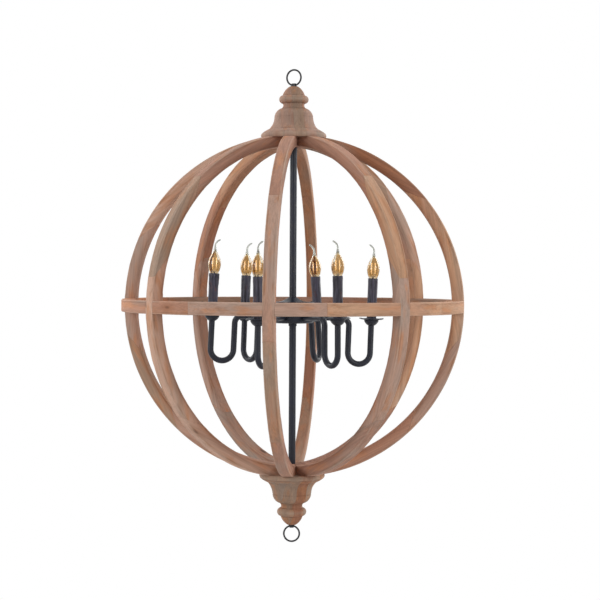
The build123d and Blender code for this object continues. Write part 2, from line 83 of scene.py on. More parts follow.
HUB_RADIUS = 57.5
HUB_CORNER = 9.0
HUB_WALL = 2.0
HUB_BOTTOM = -47.0
HUB_RIM = 8.0
COVER_HEIGHT = 14.5
COVER_SKIRT = 5.0
ARM_LEVEL = -31.0
ARM_RADIUS = 8.0
ARM_BEND = 20.0
NIPPLE_RADIUS = 5.0
NIPPLE_BORE = 5.1
DROP_CIRCLE = 155.4
CANDLE_CIRCLE = 217.0
U_BEND = 30.8
U_BOTTOM = -154.0
ARM_END = -48.0
CUP_RADIUS = 19.5
CUP_TOP = -33.0
PAN_RADIUS = 33.0
PAN_TOP = -31.2
SLEEVE_RADIUS = 13.0
SLEEVE_BORE = 11.8
SLEEVE_TOP = 79.8

# Each arm, in degrees: its angle from the front towards the right, droop, twist, and which way
# its bulb's tail bends
ARMS = [
    (40.0, -0.6, 0.0, 277.0),
    (107.0, 2.0, 0.0, 277.0),
    (168.5, 0.8, -4.0, 277.0),
    (225.6, 0.0, 2.3, 97.0),
    (280.0, -2.4, 0.0, 97.0),
    (343.0, 0.3, 0.0, 97.0),
]


# ---------------- colour


def srgb(red, green, blue):
    """A colour given as a screen shows it, 0 to 255, as linear RGBA."""

    def linear(v):
        v /= 255.0
        return v / 12.92 if v <= 0.04045 else ((v + 0.055) / 1.055) ** 2.4

    return (linear(red), linear(green), linear(blue), 1.0)


def lighter(tone, factor):
    return tuple(min(1.0, v * factor) for v in tone[:3]) + (1.0,)


TAUPE = srgb(170, 140, 118)
ROSE = srgb(186, 138, 114)
PALE_ROSE = srgb(206, 168, 146)
TAN = srgb(194, 150, 118)
PALE_TAN = srgb(208, 164, 132)
DUSTY = srgb(186, 152, 134)
ORANGE = srgb(198, 136, 94)
RUST = srgb(162, 108, 78)
DULL_ROSE = srgb(172, 130, 110)
GREY = srgb(168, 152, 140)
UMBER = srgb(92, 62, 46)
SOOT = srgb(60, 42, 34)
BARE_WOOD = srgb(196, 176, 158)
BARE_IRON = srgb(66, 56, 50)
WHITE = (1.0, 1.0, 1.0, 1.0)


# ---------------- shader nodes


class Shader:
    """A material's node tree, written as short calls."""

    def __init__(self, name):
        self.material = bpy.data.materials.new(name)
        self.material.use_nodes = True
        self.tree = self.material.node_tree
        self.tree.nodes.clear()
        self.output = self.tree.nodes.new("ShaderNodeOutputMaterial")

    def feed(self, socket, value):
        if isinstance(value, bpy.types.NodeSocket):
            self.tree.links.new(value, socket)
        else:
            socket.default_value = value

    def node(self, kind, inputs=None, **settings):
        made = self.tree.nodes.new("ShaderNode" + kind)
        for key, value in settings.items():
            setattr(made, key, value)
        for key, value in (inputs or {}).items():
            self.feed(made.inputs[key], value)
        return made

    def place(self):
        return self.node("TexCoord").outputs["Object"]

    def attribute(self, name, output="Vector"):
        return self.node("Attribute", attribute_name=name).outputs[output]

    def split(self, vector):
        return self.node("SeparateXYZ", {0: vector}).outputs

    def join(self, x, y, z):
        return self.node("CombineXYZ", {0: x, 1: y, 2: z}).outputs[0]

    def math(self, operation, *values):
        return self.node("Math", dict(enumerate(values)), operation=operation).outputs[0]

    def plus(self, a, b):
        return self.math("ADD", a, b)

    def minus(self, a, b):
        return self.math("SUBTRACT", a, b)

    def times(self, a, b):
        return self.math("MULTIPLY", a, b)

    def vector(self, operation, *values):
        return self.node("VectorMath", dict(enumerate(values)), operation=operation).outputs[0]

    def noise(self, vector, stretch, detail=2.0, rough=0.5):
        """Noise with that many cells a metre in each direction."""
        scaled = self.vector("MULTIPLY", vector, stretch)
        sockets = {"Vector": scaled, "Scale": 1.0, "Detail": detail, "Roughness": rough}
        return self.node("TexNoise", sockets).outputs[0]

    def span(self, value, low, high, to_low=0.0, to_high=1.0):
        """value mapped from one range to another, and held at its ends."""
        sockets = {0: value, 1: low, 2: high, 3: to_low, 4: to_high}
        return self.node("MapRange", sockets, clamp=True).outputs[0]

    def mix(self, factor, a, b, blend="MIX"):
        made = self.node("Mix", data_type="RGBA", blend_type=blend)
        for index, value in ((0, factor), (6, a), (7, b)):
            self.feed(made.inputs[index], value)
        return made.outputs[2]

    def scale(self, colour, factor):
        made = self.node("VectorMath", {0: colour, "Scale": factor}, operation="SCALE")
        return made.outputs[0]

    def bump(self, height, distance):
        sockets = {"Height": height, "Distance": distance, "Strength": 1.0}
        return self.node("Bump", sockets).outputs[0]

    def surface(self, **sockets):
        """The Principled shader with these sockets, an underscore standing for a space."""
        named = {key.replace("_", " "): value for key, value in sockets.items()}
        shader = self.node("BsdfPrincipled", named)
        self.tree.links.new(shader.outputs[0], self.output.inputs["Surface"])
        return self.material


# ---------------- materials


KNOTS_PER_METRE = (7.0, 22.0, 22.0)
INSIDE_SHADE = (0.76, 0.67, 0.62, 1.0)
PLANK_WIDTH = 0.0295


def wood_layers(s, grain, stain, wear, inner, grime):
    """Weathered softwood's colour, with painted shade where inner is high, roughness and height.
    grain is metres along, across, deep.
    """
    bend = s.noise(grain, (2.5, 11.0, 11.0), 2.0)
    shift = s.times(s.minus(bend, 0.5), 0.03)
    wavy = s.vector("ADD", grain, s.join(0.0, shift, shift))
    streaks = s.noise(wavy, (1.6, 75.0, 75.0), 3.0, 0.6)
    lines = s.noise(wavy, (6.0, 330.0, 330.0), 3.0, 0.65)
    fibres = s.noise(wavy, (30.0, 1500.0, 1500.0), 2.0, 0.6)
    patches = s.noise(grain, (4.5, 14.0, 14.0), 2.0)
    flecks = s.noise(grain, (9.0, 40.0, 40.0), 3.0, 0.6)

    colour = s.mix(s.span(patches, 0.52, 0.68, 0.0, 0.5), stain, ROSE)
    colour = s.mix(s.span(flecks, 0.50, 0.66, 0.0, 0.7), colour, ORANGE)
    colour = s.mix(s.span(patches, 0.46, 0.32, 0.0, 0.5), colour, GREY)
    colour = s.mix(s.span(streaks, 0.55, 0.75, 0.0, 0.35), colour, RUST)
    light = s.span(streaks, 0.28, 0.72, -0.2, 0.16)
    light = s.plus(light, s.span(lines, 0.28, 0.72, 0.86, 1.12))
    light = s.plus(light, s.span(fibres, 0.3, 0.7, -0.05, 0.05))
    colour = s.scale(colour, light)

    pores = s.span(lines, 0.66, 0.78, 0.0, 0.5)
    colour = s.mix(pores, colour, UMBER)
    cells = s.vector("MULTIPLY", grain, KNOTS_PER_METRE)
    knots = s.node("TexVoronoi", {"Vector": cells, "Scale": 1.0, "Randomness": 1.0})
    chosen = s.span(s.split(knots.outputs["Color"])[0], 0.80, 0.82)
    near = s.times(chosen, s.span(knots.outputs["Distance"], 0.34, 0.08))
    colour = s.mix(s.times(near, 0.75), colour, RUST)
    heart = s.times(chosen, s.span(knots.outputs["Distance"], 0.13, 0.07, 0.0, 0.8))
    colour = s.mix(heart, colour, SOOT)

    rub = s.times(wear, s.span(flecks, 0.35, 0.6, 0.1, 0.5))
    colour = s.mix(rub, colour, BARE_WOOD)
    dirt = s.times(grime, s.span(flecks, 0.42, 0.62, 0.0, 0.5))
    colour = s.mix(dirt, colour, UMBER)
    # Painted shade: where inner is high, INSIDE_SHADE darkens the wood, on the boards' inside
    # faces, near the finials' necks and on the pole blocks.
    dusk = s.mix(inner, WHITE, INSIDE_SHADE)
    colour = s.mix(1.0, colour, dusk, "MULTIPLY")

    rough = s.span(lines, 0.3, 0.7, 0.82, 0.66)
    height = s.plus(s.times(lines, 0.6), s.times(fibres, 0.4))
    height = s.minus(height, s.times(heart, 0.5))
    return colour, rough, height


def wood_surface(s, colour, rough, height):
    normal = s.bump(height, 0.0006)
    return s.surface(
        Base_Color=colour, Roughness=rough, Specular_IOR_Level=0.3, Normal=normal
    )


def board_wood():
    """The sawn boards: grain, stain, wear and grime, and painted shade on the inside faces, are
    painted on the mesh, board by board.
    """
    s = Shader("sawn_wood")
    wear, inner, grime = s.split(s.attribute("marks_and_shade"))
    stain = s.attribute("stain", "Color")
    return wood_surface(s, *wood_layers(s, s.attribute("grain"), stain, wear, inner, grime))


def block_wood():
    """The pole blocks, grained by where the point is, and darkened all over by painted shade."""
    s = Shader("block_wood")
    place = s.place()
    x, y, z = s.split(place)
    stain = s.mix(s.noise(place, (30,) * 3), RUST, UMBER)
    wear = s.span(s.noise(place, (90,) * 3), 0.5, 0.8)
    # inner at 0.9 paints shade over the whole block.
    return wood_surface(s, *wood_layers(s, s.join(z, x, y), stain, wear, 0.9, 0.0))


def turned_wood(name, tones, darker):
    """Wood glued up from upright planks and turned: the planks' colours and grain differ."""
    s = Shader(name)
    along, across, deep = s.split(s.attribute("grain"))
    # The middle value read here is painted shade, darker towards the finial's neck.
    wear, inner, grime = s.split(s.attribute("marks_and_shade"))
    count = s.math("FLOOR", s.math("DIVIDE", across, PLANK_WIDTH))
    pick = s.node("TexWhiteNoise", {"W": count}, noise_dimensions="1D")
    lean = s.times(pick.outputs["Value"], 9.0)
    ramp = s.node("ValToRGB", {0: pick.outputs["Value"]})
    ramp.color_ramp.interpolation = "CONSTANT"
    ramp.color_ramp.elements[0].color = tones[0]
    ramp.color_ramp.elements[1].position = 1.0 / len(tones)
    ramp.color_ramp.elements[1].color = tones[1]
    for i, tone in enumerate(tones[2:], 2):
        ramp.color_ramp.elements.new(i / len(tones)).color = tone
    grain = s.join(s.plus(along, lean), s.plus(across, lean), deep)
    colour, rough, height = wood_layers(s, grain, ramp.outputs["Color"], wear, inner, grime)
    fraction = s.math("FRACT", s.math("DIVIDE", across, PLANK_WIDTH))
    edge = s.math("ABSOLUTE", s.minus(fraction, 0.5))
    glue = s.span(edge, 0.485, 0.497, 0.0, 0.35)
    colour = s.scale(s.mix(glue, colour, UMBER), darker)
    rings = s.noise(s.join(along, 0.0, 0.0), (900.0, 1.0, 1.0), 2.0)
    height = s.plus(height, s.times(rings, 0.5))
    return wood_surface(s, colour, rough, s.minus(height, glue))


def iron(name, tone, rusty, rough=0.4):
    """Black iron, brushed with paint: cloudy, with brown where it has worn."""
    s = Shader(name)
    place = s.place()
    cloud = s.noise(place, (45.0, 45.0, 45.0), 4.0, 0.6)
    brush = s.noise(place, (600.0, 600.0, 90.0), 2.0, 0.6)
    colour = s.mix(s.span(cloud, 0.35, 0.65), tone, lighter(tone, 1.6))
    worn = s.span(s.noise(place, (160.0,) * 3, 4.0, 0.7), 0.60, 0.72, 0.0, rusty)
    colour = s.mix(worn, colour, BARE_IRON)
    height = s.plus(cloud, s.times(brush, 0.35))
    return s.surface(
        Base_Color=colour,
        Roughness=s.span(cloud, 0.3, 0.7, rough - 0.1, rough + 0.1),
        Specular_IOR_Level=0.38,
        Normal=s.bump(height, 0.0004),
    )


def candle_paint():
    """The candle sleeves: dark wax-like paint, streaked down the sleeve."""
    s = Shader("candle_black")
    place = s.place()
    runs = s.noise(place, (190.0, 190.0, 14.0), 3.0, 0.6)
    cloud = s.noise(place, (90.0, 90.0, 60.0), 3.0, 0.6)
    colour = s.mix(s.span(runs, 0.38, 0.66), srgb(28, 27, 37), srgb(80, 78, 94))
    colour = s.mix(s.span(cloud, 0.58, 0.72, 0.0, 0.7), colour, srgb(84, 54, 56))
    height = s.plus(runs, s.times(cloud, 0.8))
    return s.surface(
        Base_Color=colour,
        Roughness=s.span(runs, 0.3, 0.7, 0.34, 0.52),
        Specular_IOR_Level=0.32,
        Normal=s.bump(height, 0.0004),
    )


PALE_AMBER = (0.66, 0.50, 0.29, 1.0)
DEEP_AMBER = (0.56, 0.39, 0.19, 1.0)
CLEAR_GLASS = (0.93, 0.92, 0.86, 1.0)
TAIL_GLASS = (0.46, 0.48, 0.44, 1.0)


def amber_glass():
    """Amber-stained glass: tint is 0 where it is amber, 1 where it is clear, 2 in the tail."""
    s = Shader("amber_glass")
    tint = s.attribute("tint", "Fac")
    thin, tail = s.span(tint, 0.0, 1.0), s.span(tint, 1.0, 2.0)
    cloud = s.noise(s.place(), (40.0, 40.0, 20.0), 2.0)
    amber = s.mix(s.span(cloud, 0.3, 0.7), PALE_AMBER, DEEP_AMBER)
    stained = s.mix(thin, amber, CLEAR_GLASS)
    rough = s.span(cloud, 0.4, 0.6, 0.02, 0.05)
    return s.surface(
        Base_Color=s.mix(tail, stained, TAIL_GLASS),
        Roughness=s.plus(rough, s.span(tail, 0.3, 1.0, 0.0, 0.2)),
        IOR=1.5,
        Transmission_Weight=1.0,
        Normal=s.bump(cloud, 0.0001),
    )


def core_paint():
    """The bulb's insides: part is 0 on the cap, 1 on the glass mount, 2 on the filaments, which
    glow faintly as painted light.
    """
    s = Shader("bulb_metal")
    part = s.attribute("part", "Fac")
    cloud = s.noise(s.place(), (300.0,) * 3, 3.0)
    metal = s.mix(s.span(cloud, 0.3, 0.7), srgb(172, 150, 112), srgb(140, 120, 88))
    colour = s.mix(s.span(part, 0.5, 0.6), metal, srgb(205, 200, 190))
    return s.surface(
        Base_Color=s.mix(s.span(part, 1.5, 1.6), colour, srgb(255, 236, 196)),
        Metallic=s.span(part, 0.4, 0.6, 0.9, 0.0),
        Roughness=s.span(cloud, 0.3, 0.7, 0.25, 0.45),
        # Painted glow: the filaments emit faintly, which paints them bright.
        Emission_Color=(1.0, 0.86, 0.72, 1.0),
        Emission_Strength=s.span(part, 1.5, 1.6, 0.0, 1.6),
    )


def plain(name, tone, other, scale, rough, metallic=0.0):
    """A small part's finish: two tones in a fine mottle, with matching roughness and bump."""
    s = Shader(name)
    cloud = s.noise(s.place(), (scale,) * 3, 4.0, 0.65)
    return s.surface(
        Base_Color=s.mix(s.span(cloud, 0.35, 0.65), tone, other),
        Metallic=metallic,
        Roughness=s.span(cloud, 0.3, 0.7, rough - 0.08, rough + 0.12),
        Normal=s.bump(cloud, 0.0002),
    )


SAWN = board_wood()
BLOCK = block_wood()
TOP_TURNED = turned_wood("top_turned_wood", [DUSTY, ROSE, TAUPE, PALE_ROSE, DUSTY], 0.78)
LOW_TURNED = turned_wood("low_turned_wood", [TAUPE, ROSE, RUST, DUSTY, ORANGE], 0.8)
IRON = iron("black_iron", srgb(15, 20, 33), 0.25)
RING_IRON = iron("ring_iron", srgb(28, 28, 31), 0.5, 0.5)
CANDLE = candle_paint()
GLASS = amber_glass()
CORE = core_paint()
HOLDER = plain("holder_black", srgb(34, 32, 32), srgb(52, 48, 46), 200.0, 0.5)
WIRE = plain("wire_insulation", srgb(30, 28, 28), srgb(46, 42, 40), 120.0, 0.45)
STEEL = plain("fastener_steel", srgb(58, 50, 46), srgb(96, 82, 72), 500.0, 0.45, 0.7)


# ---------------- meshes


def tube_faces(rings, columns, start=0, closed=False):
    """The quads between rings of points, and a face on each end, or quads that close the loop."""
    faces = []
    for i in range(rings if closed else rings - 1):
        low = start + i * columns
        high = start + (i + 1) % rings * columns
        for j in range(columns):
            k = (j + 1) % columns
            faces.append((low + j, low + k, high + k, high + j))
    if not closed:
        faces.append(tuple(start + j for j in reversed(range(columns))))
        faces.append(tuple(start + (rings - 1) * columns + j for j in range(columns)))
    return faces


def new_mesh(name, points, faces, merge=True):
    mesh = bpy.data.meshes.new(name)
    mesh.from_pydata([tuple(p) for p in points], [], faces)
    tidy = bmesh.new()
    tidy.from_mesh(mesh)
    if merge:
        bmesh.ops.remove_doubles(tidy, verts=tidy.verts, dist=0.001)
    bmesh.ops.recalc_face_normals(tidy, faces=tidy.faces)
    tidy.to_mesh(mesh)
    tidy.free()
    return mesh


def read_all(items, name, width=3, kind=np.float32):
    values = np.empty(len(items) * width, kind)
    items.foreach_get(name, values)
    return values


def vertex_layer(mesh, name, kind, values):
    """A value on every vertex, for a material to read by that name."""
    layer = mesh.attributes.new(name, kind, "POINT")
    layer.data.foreach_set("value" if kind == "FLOAT" else "vector", values)


def link(thing):
    bpy.context.scene.collection.objects.link(thing)
    return thing


def new_object(name, mesh, place):
    """An object at the origin, whose mesh was drawn in millimetres and is moved into place."""
    mesh.transform(TO_WORLD @ place)
    return link(bpy.data.objects.new(name, mesh))


def finish_piece(thing, material, body, nodes, sharp=35.0):
    thing.data.materials.clear()
    thing.data.materials.append(material)
    thing.data.polygons.foreach_set("use_smooth", [True] * len(thing.data.polygons))
    thing.data.set_sharp_from_angle(angle=radians(sharp))
    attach(thing, body)
    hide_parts(*nodes)
    return thing


def carve(thing, cutters):
    """Takes closed cutter meshes away from a piece, and deletes them."""
    parts = bpy.data.meshes.new("cutter")
    joined = bmesh.new()
    for mesh in cutters:
        joined.from_mesh(mesh)
    joined.to_mesh(parts)
    joined.free()
    cutter = new_object("cutter", parts, Matrix.Identity(4))
    cut = thing.modifiers.new("cut", "BOOLEAN")
    cut.operation, cut.solver, cut.object = "DIFFERENCE", "EXACT", cutter
    bpy.context.view_layer.update()
    graph = bpy.context.evaluated_depsgraph_get()
    result = bpy.data.meshes.new_from_object(thing.evaluated_get(graph))
    thing.modifiers.clear()
    thing.data = result
    bpy.data.objects.remove(cutter)


def turn_to(angle):
    """Turns what is drawn along +X to an angle from the front towards the right."""
    return Matrix.Rotation(radians(angle - 90.0), 4, "Z")


FLIP = Matrix.Rotation(pi, 4, "X")
UPRIGHT = Matrix.Identity(4)


def box_mesh(x, y, z, place):
    points = [(a, b, c) for a in x for b in y for c in z]
    faces = [(0, 1, 3, 2), (4, 6, 7, 5), (0, 4, 5, 1), (2, 3, 7, 6), (0, 2, 6, 4), (1, 5, 7, 3)]
    mesh = new_mesh("box", points, faces)
    mesh.transform(place)
    return mesh


def bar_mesh(radius, low, high, place, sides=24):
    mesh = lathe("bar", [(radius, low), (radius, high)], sides, closed=False)
    mesh.transform(place)
    return mesh


def arc_points(start, middle, end):
    """Points along the arc through three points, the first left out."""
    (ax, ay), (bx, by), (cx, cy) = start, middle, end
    d = 2 * (ax * (by - cy) + bx * (cy - ay) + cx * (ay - by))
    a2, b2, c2 = ax * ax + ay * ay, bx * bx + by * by, cx * cx + cy * cy
    ux = (a2 * (by - cy) + b2 * (cy - ay) + c2 * (ay - by)) / d
    uy = (a2 * (cx - bx) + b2 * (ax - cx) + c2 * (bx - ax)) / d
    radius = math.hypot(ax - ux, ay - uy)
    a0 = math.atan2(ay - uy, ax - ux)
    a1 = math.atan2(cy - uy, cx - ux)
    way = (bx - ax) * (cy - ay) - (by - ay) * (cx - ax)
    turn = (a1 - a0) % (2 * pi) if way > 0 else -((a0 - a1) % (2 * pi))
    count = max(2, round(radius * abs(turn) / ARC_STEP))
    points = []
    for i in range(1, count + 1):
        a = a0 + turn * i / count
        points.append((ux + radius * cos(a), uy + radius * sin(a)))
    return points


def outline(*stops):
    """A profile from stops: a point is joined by a line, a pair (middle, end) by an arc."""
    points = [stops[0]]
    for stop in stops[1:]:
        if isinstance(stop[0], tuple):
            points += arc_points(points[-1], *stop)
        else:
            points.append(stop)
    return points


def divided(points, step):
    """The profile with its long lines divided, so that dents have points to move."""
    out = [points[0]]
    for a, b in zip(points, points[1:]):
        count = max(1, math.ceil(math.dist(a, b) / step))
        for i in range(1, count + 1):
            out.append(tuple(p + (q - p) * i / count for p, q in zip(a, b)))
    return out


def lathe(name, profile, sides, change=None, closed=True):
    """A turned mesh from (radius, height) points, moved by change(radius, height, angle)."""
    points = []
    for radius, height in profile:
        for j in range(sides):
            angle = 2 * pi * j / sides
            r, z = change(radius, height, angle) if change else (radius, height)
            points.append((r * cos(angle), r * sin(angle), z))
    return new_mesh(name, points, tube_faces(len(profile), sides, closed=closed))


def walk(start, heading, moves, step):
    """(x, z, heading) along a path in XZ. A run's move is (length,), a bend's (radius, turn)."""
    (x, z), h = start, radians(heading)
    out = [(x, z, h)]
    for move in moves:
        if len(move) == 1:
            count = max(1, math.ceil(move[0] / step))
            for i in range(1, count + 1):
                d = move[0] * i / count
                out.append((x + d * cos(h), z + d * sin(h), h))
            x, z, _ = out[-1]
        else:
            radius, turn = move[0], radians(move[1])
            way = math.copysign(1.0, turn)
            cx, cz = x - radius * way * sin(h), z + radius * way * cos(h)
            count = max(2, math.ceil(radius * abs(turn) / step))
            for i in range(1, count + 1):
                a = h + turn * i / count
                out.append((cx + radius * way * sin(a), cz - radius * way * cos(a), a))
            x, z, h = out[-1]
    return out


def swept_rings(path, radius_at, sides):
    """Rings of points round a path in the XZ plane. radius_at(i, angle) gives the radius."""
    points = []
    for i, (x, z, h) in enumerate(path):
        for j in range(sides):
            angle = 2 * pi * j / sides
            r = radius_at(i, angle)
            up = r * cos(angle)
            points.append((x - up * sin(h), r * sin(angle), z + up * cos(h)))
    return points


def held(value):
    """The value held between 0 and 1."""
    return max(0.0, min(1.0, value))


def lumps(seed, x, y, z, size):
    """Smooth noise from -1 to 1, its bumps that many millimetres apart."""
    return noise.noise(Vector((x / size + 17.3 * seed, y / size, z / size - 5.1 * seed)))


# ---------------- sawn boards


def section(half_depth, half_width, radii, corner_steps=4):
    """A rounded rectangle's points as (outwards, sideways), one radius for each corner."""
    corners = []
    for (sx, sy), radius, first in zip(
        ((1, -1), (1, 1), (-1, 1), (-1, -1)), radii, (-90.0, 0.0, 90.0, 180.0)
    ):
        cx, cy = sx * (half_depth - radius), sy * (half_width - radius)
        arc = []
        for i in range(corner_steps + 1):
            a = radians(first + 90.0 * i / corner_steps)
            arc.append((cx + radius * cos(a), cy + radius * sin(a)))
        corners.append(arc)
    points = []
    for arc, after in zip(corners, corners[1:] + corners[:1]):
        points += arc
        (ax, ay), (bx, by) = arc[-1], after[0]
        for t in (0.06, 0.2, 0.4, 0.6, 0.8, 0.94):
            points.append((ax + (bx - ax) * t, ay + (by - ay) * t))
    return points


def board_end(angle, slant):
    """Where a board's end face is: its angle in degrees at each radius."""
    return lambda radius: angle + slant * (ORB_RADIUS - radius) / RIB_DEPTH


def pole_end(side):
    return lambda radius: side * math.degrees(math.acos(POLE_FACE / radius))


def board(seed, start, end, half_width, tight, groove_ends, step=5.5):
    """One curved board as rings of (outwards radius, sideways, angle)."""
    length = radians(end(LAP_RADIUS) - start(LAP_RADIUS)) * ORB_RADIUS
    count = max(4, round(length / step))
    edge, gap = 0.7 / length, 0.05 / length
    stations = [gap, gap + edge] + [i / count for i in range(1, count)]
    stations += [1 - gap - edge, 1 - gap]
    middle = (ORB_RADIUS + RIB_INSIDE) / 2
    rand = random.Random(seed)
    step_out, step_side = rand.uniform(-0.25, 0.1), rand.uniform(-0.25, 0.25)
    rings = []
    for n, t in enumerate(stations):
        along = t * length
        angle = start(middle) + t * (end(middle) - start(middle))
        loose = 1.0 - tight(angle)
        radii = []
        for c in range(4):
            wander = lumps(seed + c, along, 0.0, 0.0, 28.0)
            wander += 0.6 * lumps(seed - c, along, 3.0, 0.0, 9.0)
            radii.append(SHARP_ARRIS + loose * (ARRIS - SHARP_ARRIS + 0.9 * wander))
        first, last = n == 0, n == len(stations) - 1
        grooved = (first and groove_ends[0]) or (last and groove_ends[1])
        closed_in = SEAM_GROOVE if grooved else 0.0
        half_depth = RIB_DEPTH / 2 - closed_in
        out = step_out * loose + 0.25 * loose * lumps(seed, along, 9.0, 0.0, 90.0)
        side = step_side * loose + 0.35 * loose * lumps(seed, along, 0.0, 9.0, 120.0)
        ring = []
        for du, dv in section(half_depth, half_width - closed_in, [max(0.3, r) for r in radii]):
            rough = 0.1 * lumps(seed, along, du, dv, 12.0) * loose
            radius = middle + du * (1 + rough / 16) + out
            a = start(radius) + t * (end(radius) - start(radius))
            ring.append((radius, dv * (1 + rough / 15) + side, a))
        rings.append(ring)
    return rings


def paint_boards(thing, boards, to_hoop, half_width):
    """Paints grain, stain, wear, grime and painted inside shade on each face's corners, by the
    board that the face is in.
    """
    mesh = thing.data
    corners = read_all(mesh.loops, "vertex_index", 1, np.int32)
    sizes = read_all(mesh.polygons, "loop_total", 1, np.int32)
    a, b, c = to_hoop(read_all(mesh.vertices, "co").reshape(-1, 3))
    fa, fb, _ = to_hoop(read_all(mesh.polygons, "center").reshape(-1, 3))
    radius, angle = np.hypot(fa, fb), np.degrees(np.arctan2(fb, fa))
    which = np.zeros(len(radius), np.int32)
    for n, entry in enumerate(boards):
        start, end = entry["start"], entry["end"]
        low = np.array([start(r) for r in np.clip(radius, 400, 480)])
        high = np.array([end(r) for r in np.clip(radius, 400, 480)])
        middle = (low + high) / 2
        off = (angle - middle + 180.0) % 360.0 - 180.0
        which[np.abs(off) <= (high - low) / 2 + 0.02] = n
    owner = np.repeat(which, sizes)
    a, b, c = a[corners], b[corners], c[corners]
    grain = np.empty((len(corners), 3), np.float32)
    stain = np.empty((len(corners), 4), np.float32)
    for n, entry in enumerate(boards):
        mine = owner == n
        centre = (entry["start"](LAP_RADIUS) + entry["end"](LAP_RADIUS)) / 2
        mid = radians(centre + entry["lean"])
        along = -a * sin(mid) + b * cos(mid)
        deep = a * cos(mid) + b * sin(mid) - LAP_RADIUS
        for column, value in enumerate((along, c, deep)):
            grain[mine, column] = (value * MM + entry["offset"][column])[mine]
        stain[mine] = entry["stain"]
    rho = np.hypot(a, b)
    du = np.abs(rho - LAP_RADIUS) - (RIB_DEPTH / 2 - 3.4)
    dv = np.abs(c) - (half_width - 3.4)
    wear = np.clip((du + dv - 3.4) / 2.2, 0.0, 1.0) * (du > 0) * (dv > 0)
    # Painted shade: the faces towards the orb's inside are darkened, more the further in they
    # lie.
    inner = np.clip((LAP_RADIUS + 4 - rho) / 18.0, 0.0, 1.0)
    grime = np.clip(1.0 - np.abs(np.minimum(du, dv) + 0.7) / 1.7, 0.0, 1.0)
    marks_and_shade = np.stack([wear, inner, grime], axis=1).astype(np.float32)
    for name, kind, values in (
        ("grain", "FLOAT_VECTOR", grain),
        ("stain", "FLOAT_COLOR", stain),
        ("marks_and_shade", "FLOAT_VECTOR", marks_and_shade),
    ):
        layer = mesh.attributes.new(name, kind, "CORNER")
        layer.data.foreach_set("color" if kind == "FLOAT_COLOR" else "vector", values.ravel())


def hoop_of(turn, upright):
    """A function from world points to a hoop's plane and side, in millimetres."""
    back = np.array(turn.inverted().to_3x3())

    def to_hoop(points):
        local = (points - np.array(CENTRE)) / MM @ back.T
        if upright:
            return local[:, 0], local[:, 2], local[:, 1]
        return local[:, 0], local[:, 1], local[:, 2]

    return to_hoop


def make_boards(name, ends, tones, seed, half_width, tight, place, upright):
    """The boards between neighbouring ends, as one object drawn in the hoop's plane."""
    rand = random.Random(seed)
    points, faces, boards = [], [], []
    for n, ((start, grooved_a), (end, grooved_b)) in enumerate(zip(ends, ends[1:])):
        rings = board(seed * 20 + n, start, end, half_width, tight, (grooved_a, grooved_b))
        faces += tube_faces(len(rings), len(rings[0]), len(points))
        for ring in rings:
            for radius, side, angle in ring:
                u = radius * cos(radians(angle))
                v = radius * sin(radians(angle))
                if upright:
                    v = max(-POLE_FLAT, min(POLE_FLAT, v))
                    points.append((u, side, v))
                else:
                    points.append((u, v, side))
        boards.append(
            {
                "start": start,
                "end": end,
                "stain": lighter(tones[n], rand.uniform(0.95, 1.05)),
                "lean": rand.uniform(-5.0, 5.0),
                "offset": [rand.uniform(0.0, 20.0) for _ in range(3)],
            }
        )
    thing = new_object(name, new_mesh(name, points, faces), place)
    return thing, boards


# A rib's seams from the bottom up, and their slants
LOW = (-47.5, -9.6, 38.0), (8.0, -8.0, 8.0)
HIGH = (-38.0, 9.6, 47.5), (-8.0, 8.0, -8.0)
SHORT = (-47.5, -9.6, 22.7), (8.0, -8.0, 7.8)

# Each rib: its seams, and its boards' colours from the bottom up
RIBS = [
    (LOW, (DULL_ROSE, TAUPE, DUSTY, DULL_ROSE)),
    (HIGH, (DULL_ROSE, DUSTY, TAN, DULL_ROSE)),
    (LOW, (ROSE, DUSTY, PALE_TAN, RUST)),
    (HIGH, (DULL_ROSE, PALE_TAN, PALE_ROSE, TAUPE)),
    (LOW, (TAUPE, ROSE, TAN, TAN)),
    (HIGH, (GREY, DUSTY, ROSE, TAN)),
    (SHORT, (DUSTY, TAUPE, DUSTY, PALE_ROSE)),
    (HIGH, (PALE_ROSE, PALE_ROSE, TAUPE, DULL_ROSE)),
]
BAND_SEAM = 18.0
BAND_TONES = (PALE_TAN, TAN, TAUPE, DUSTY, TAUPE, ORANGE, ROSE, DUSTY)


def near_band(angle):
    """1 where a rib crosses the band, 0 clear of it."""
    height = abs(ORB_RADIUS * sin(radians(angle)))
    return held((21.0 - height) / 4.5)


def near_rib(angle):
    """Above 0 where the band is let into a rib."""
    off = abs((angle + 22.5) % 45.0 - 22.5)
    return held((18.5 - radians(off) * ORB_RADIUS) / 3.0) * 0.6


def make_rib(i, seams, slants, tones):
    place = turn_to(45.0 * i)
    ends = [(pole_end(-1), False)]
    ends += [(board_end(angle, slant), True) for angle, slant in zip(seams, slants)]
    ends += [(pole_end(1), False)]
    name, half_width = f"sawn_rib_{i + 1}", RIB_WIDTH / 2
    rib, boards = make_boards(name, ends, tones, 11 + i, half_width, near_band, place, True)
    seat = math.sqrt(RIB_INSIDE**2 - POLE_SCREW_CIRCLE**2) + SCREW_SEAT
    upright = place @ Matrix.Translation((POLE_SCREW_CIRCLE, 0.0, 0.0))
    half_lap = BAND_HEIGHT / 2 + LAP_ROOM
    carve(
        rib,
        [
            box_mesh((380.0, LAP_RADIUS), (-25.0, 25.0), (-half_lap, half_lap), place),
            bar_mesh(SCREW_RECESS, 400.0, seat, upright),
            bar_mesh(SCREW_RECESS, -seat, -400.0, upright),
        ],
    )
    paint_boards(rib, boards, hoop_of(place, True), half_width)
    finish_piece(rib, SAWN, "frame", [f"rib_{i + 1}"])


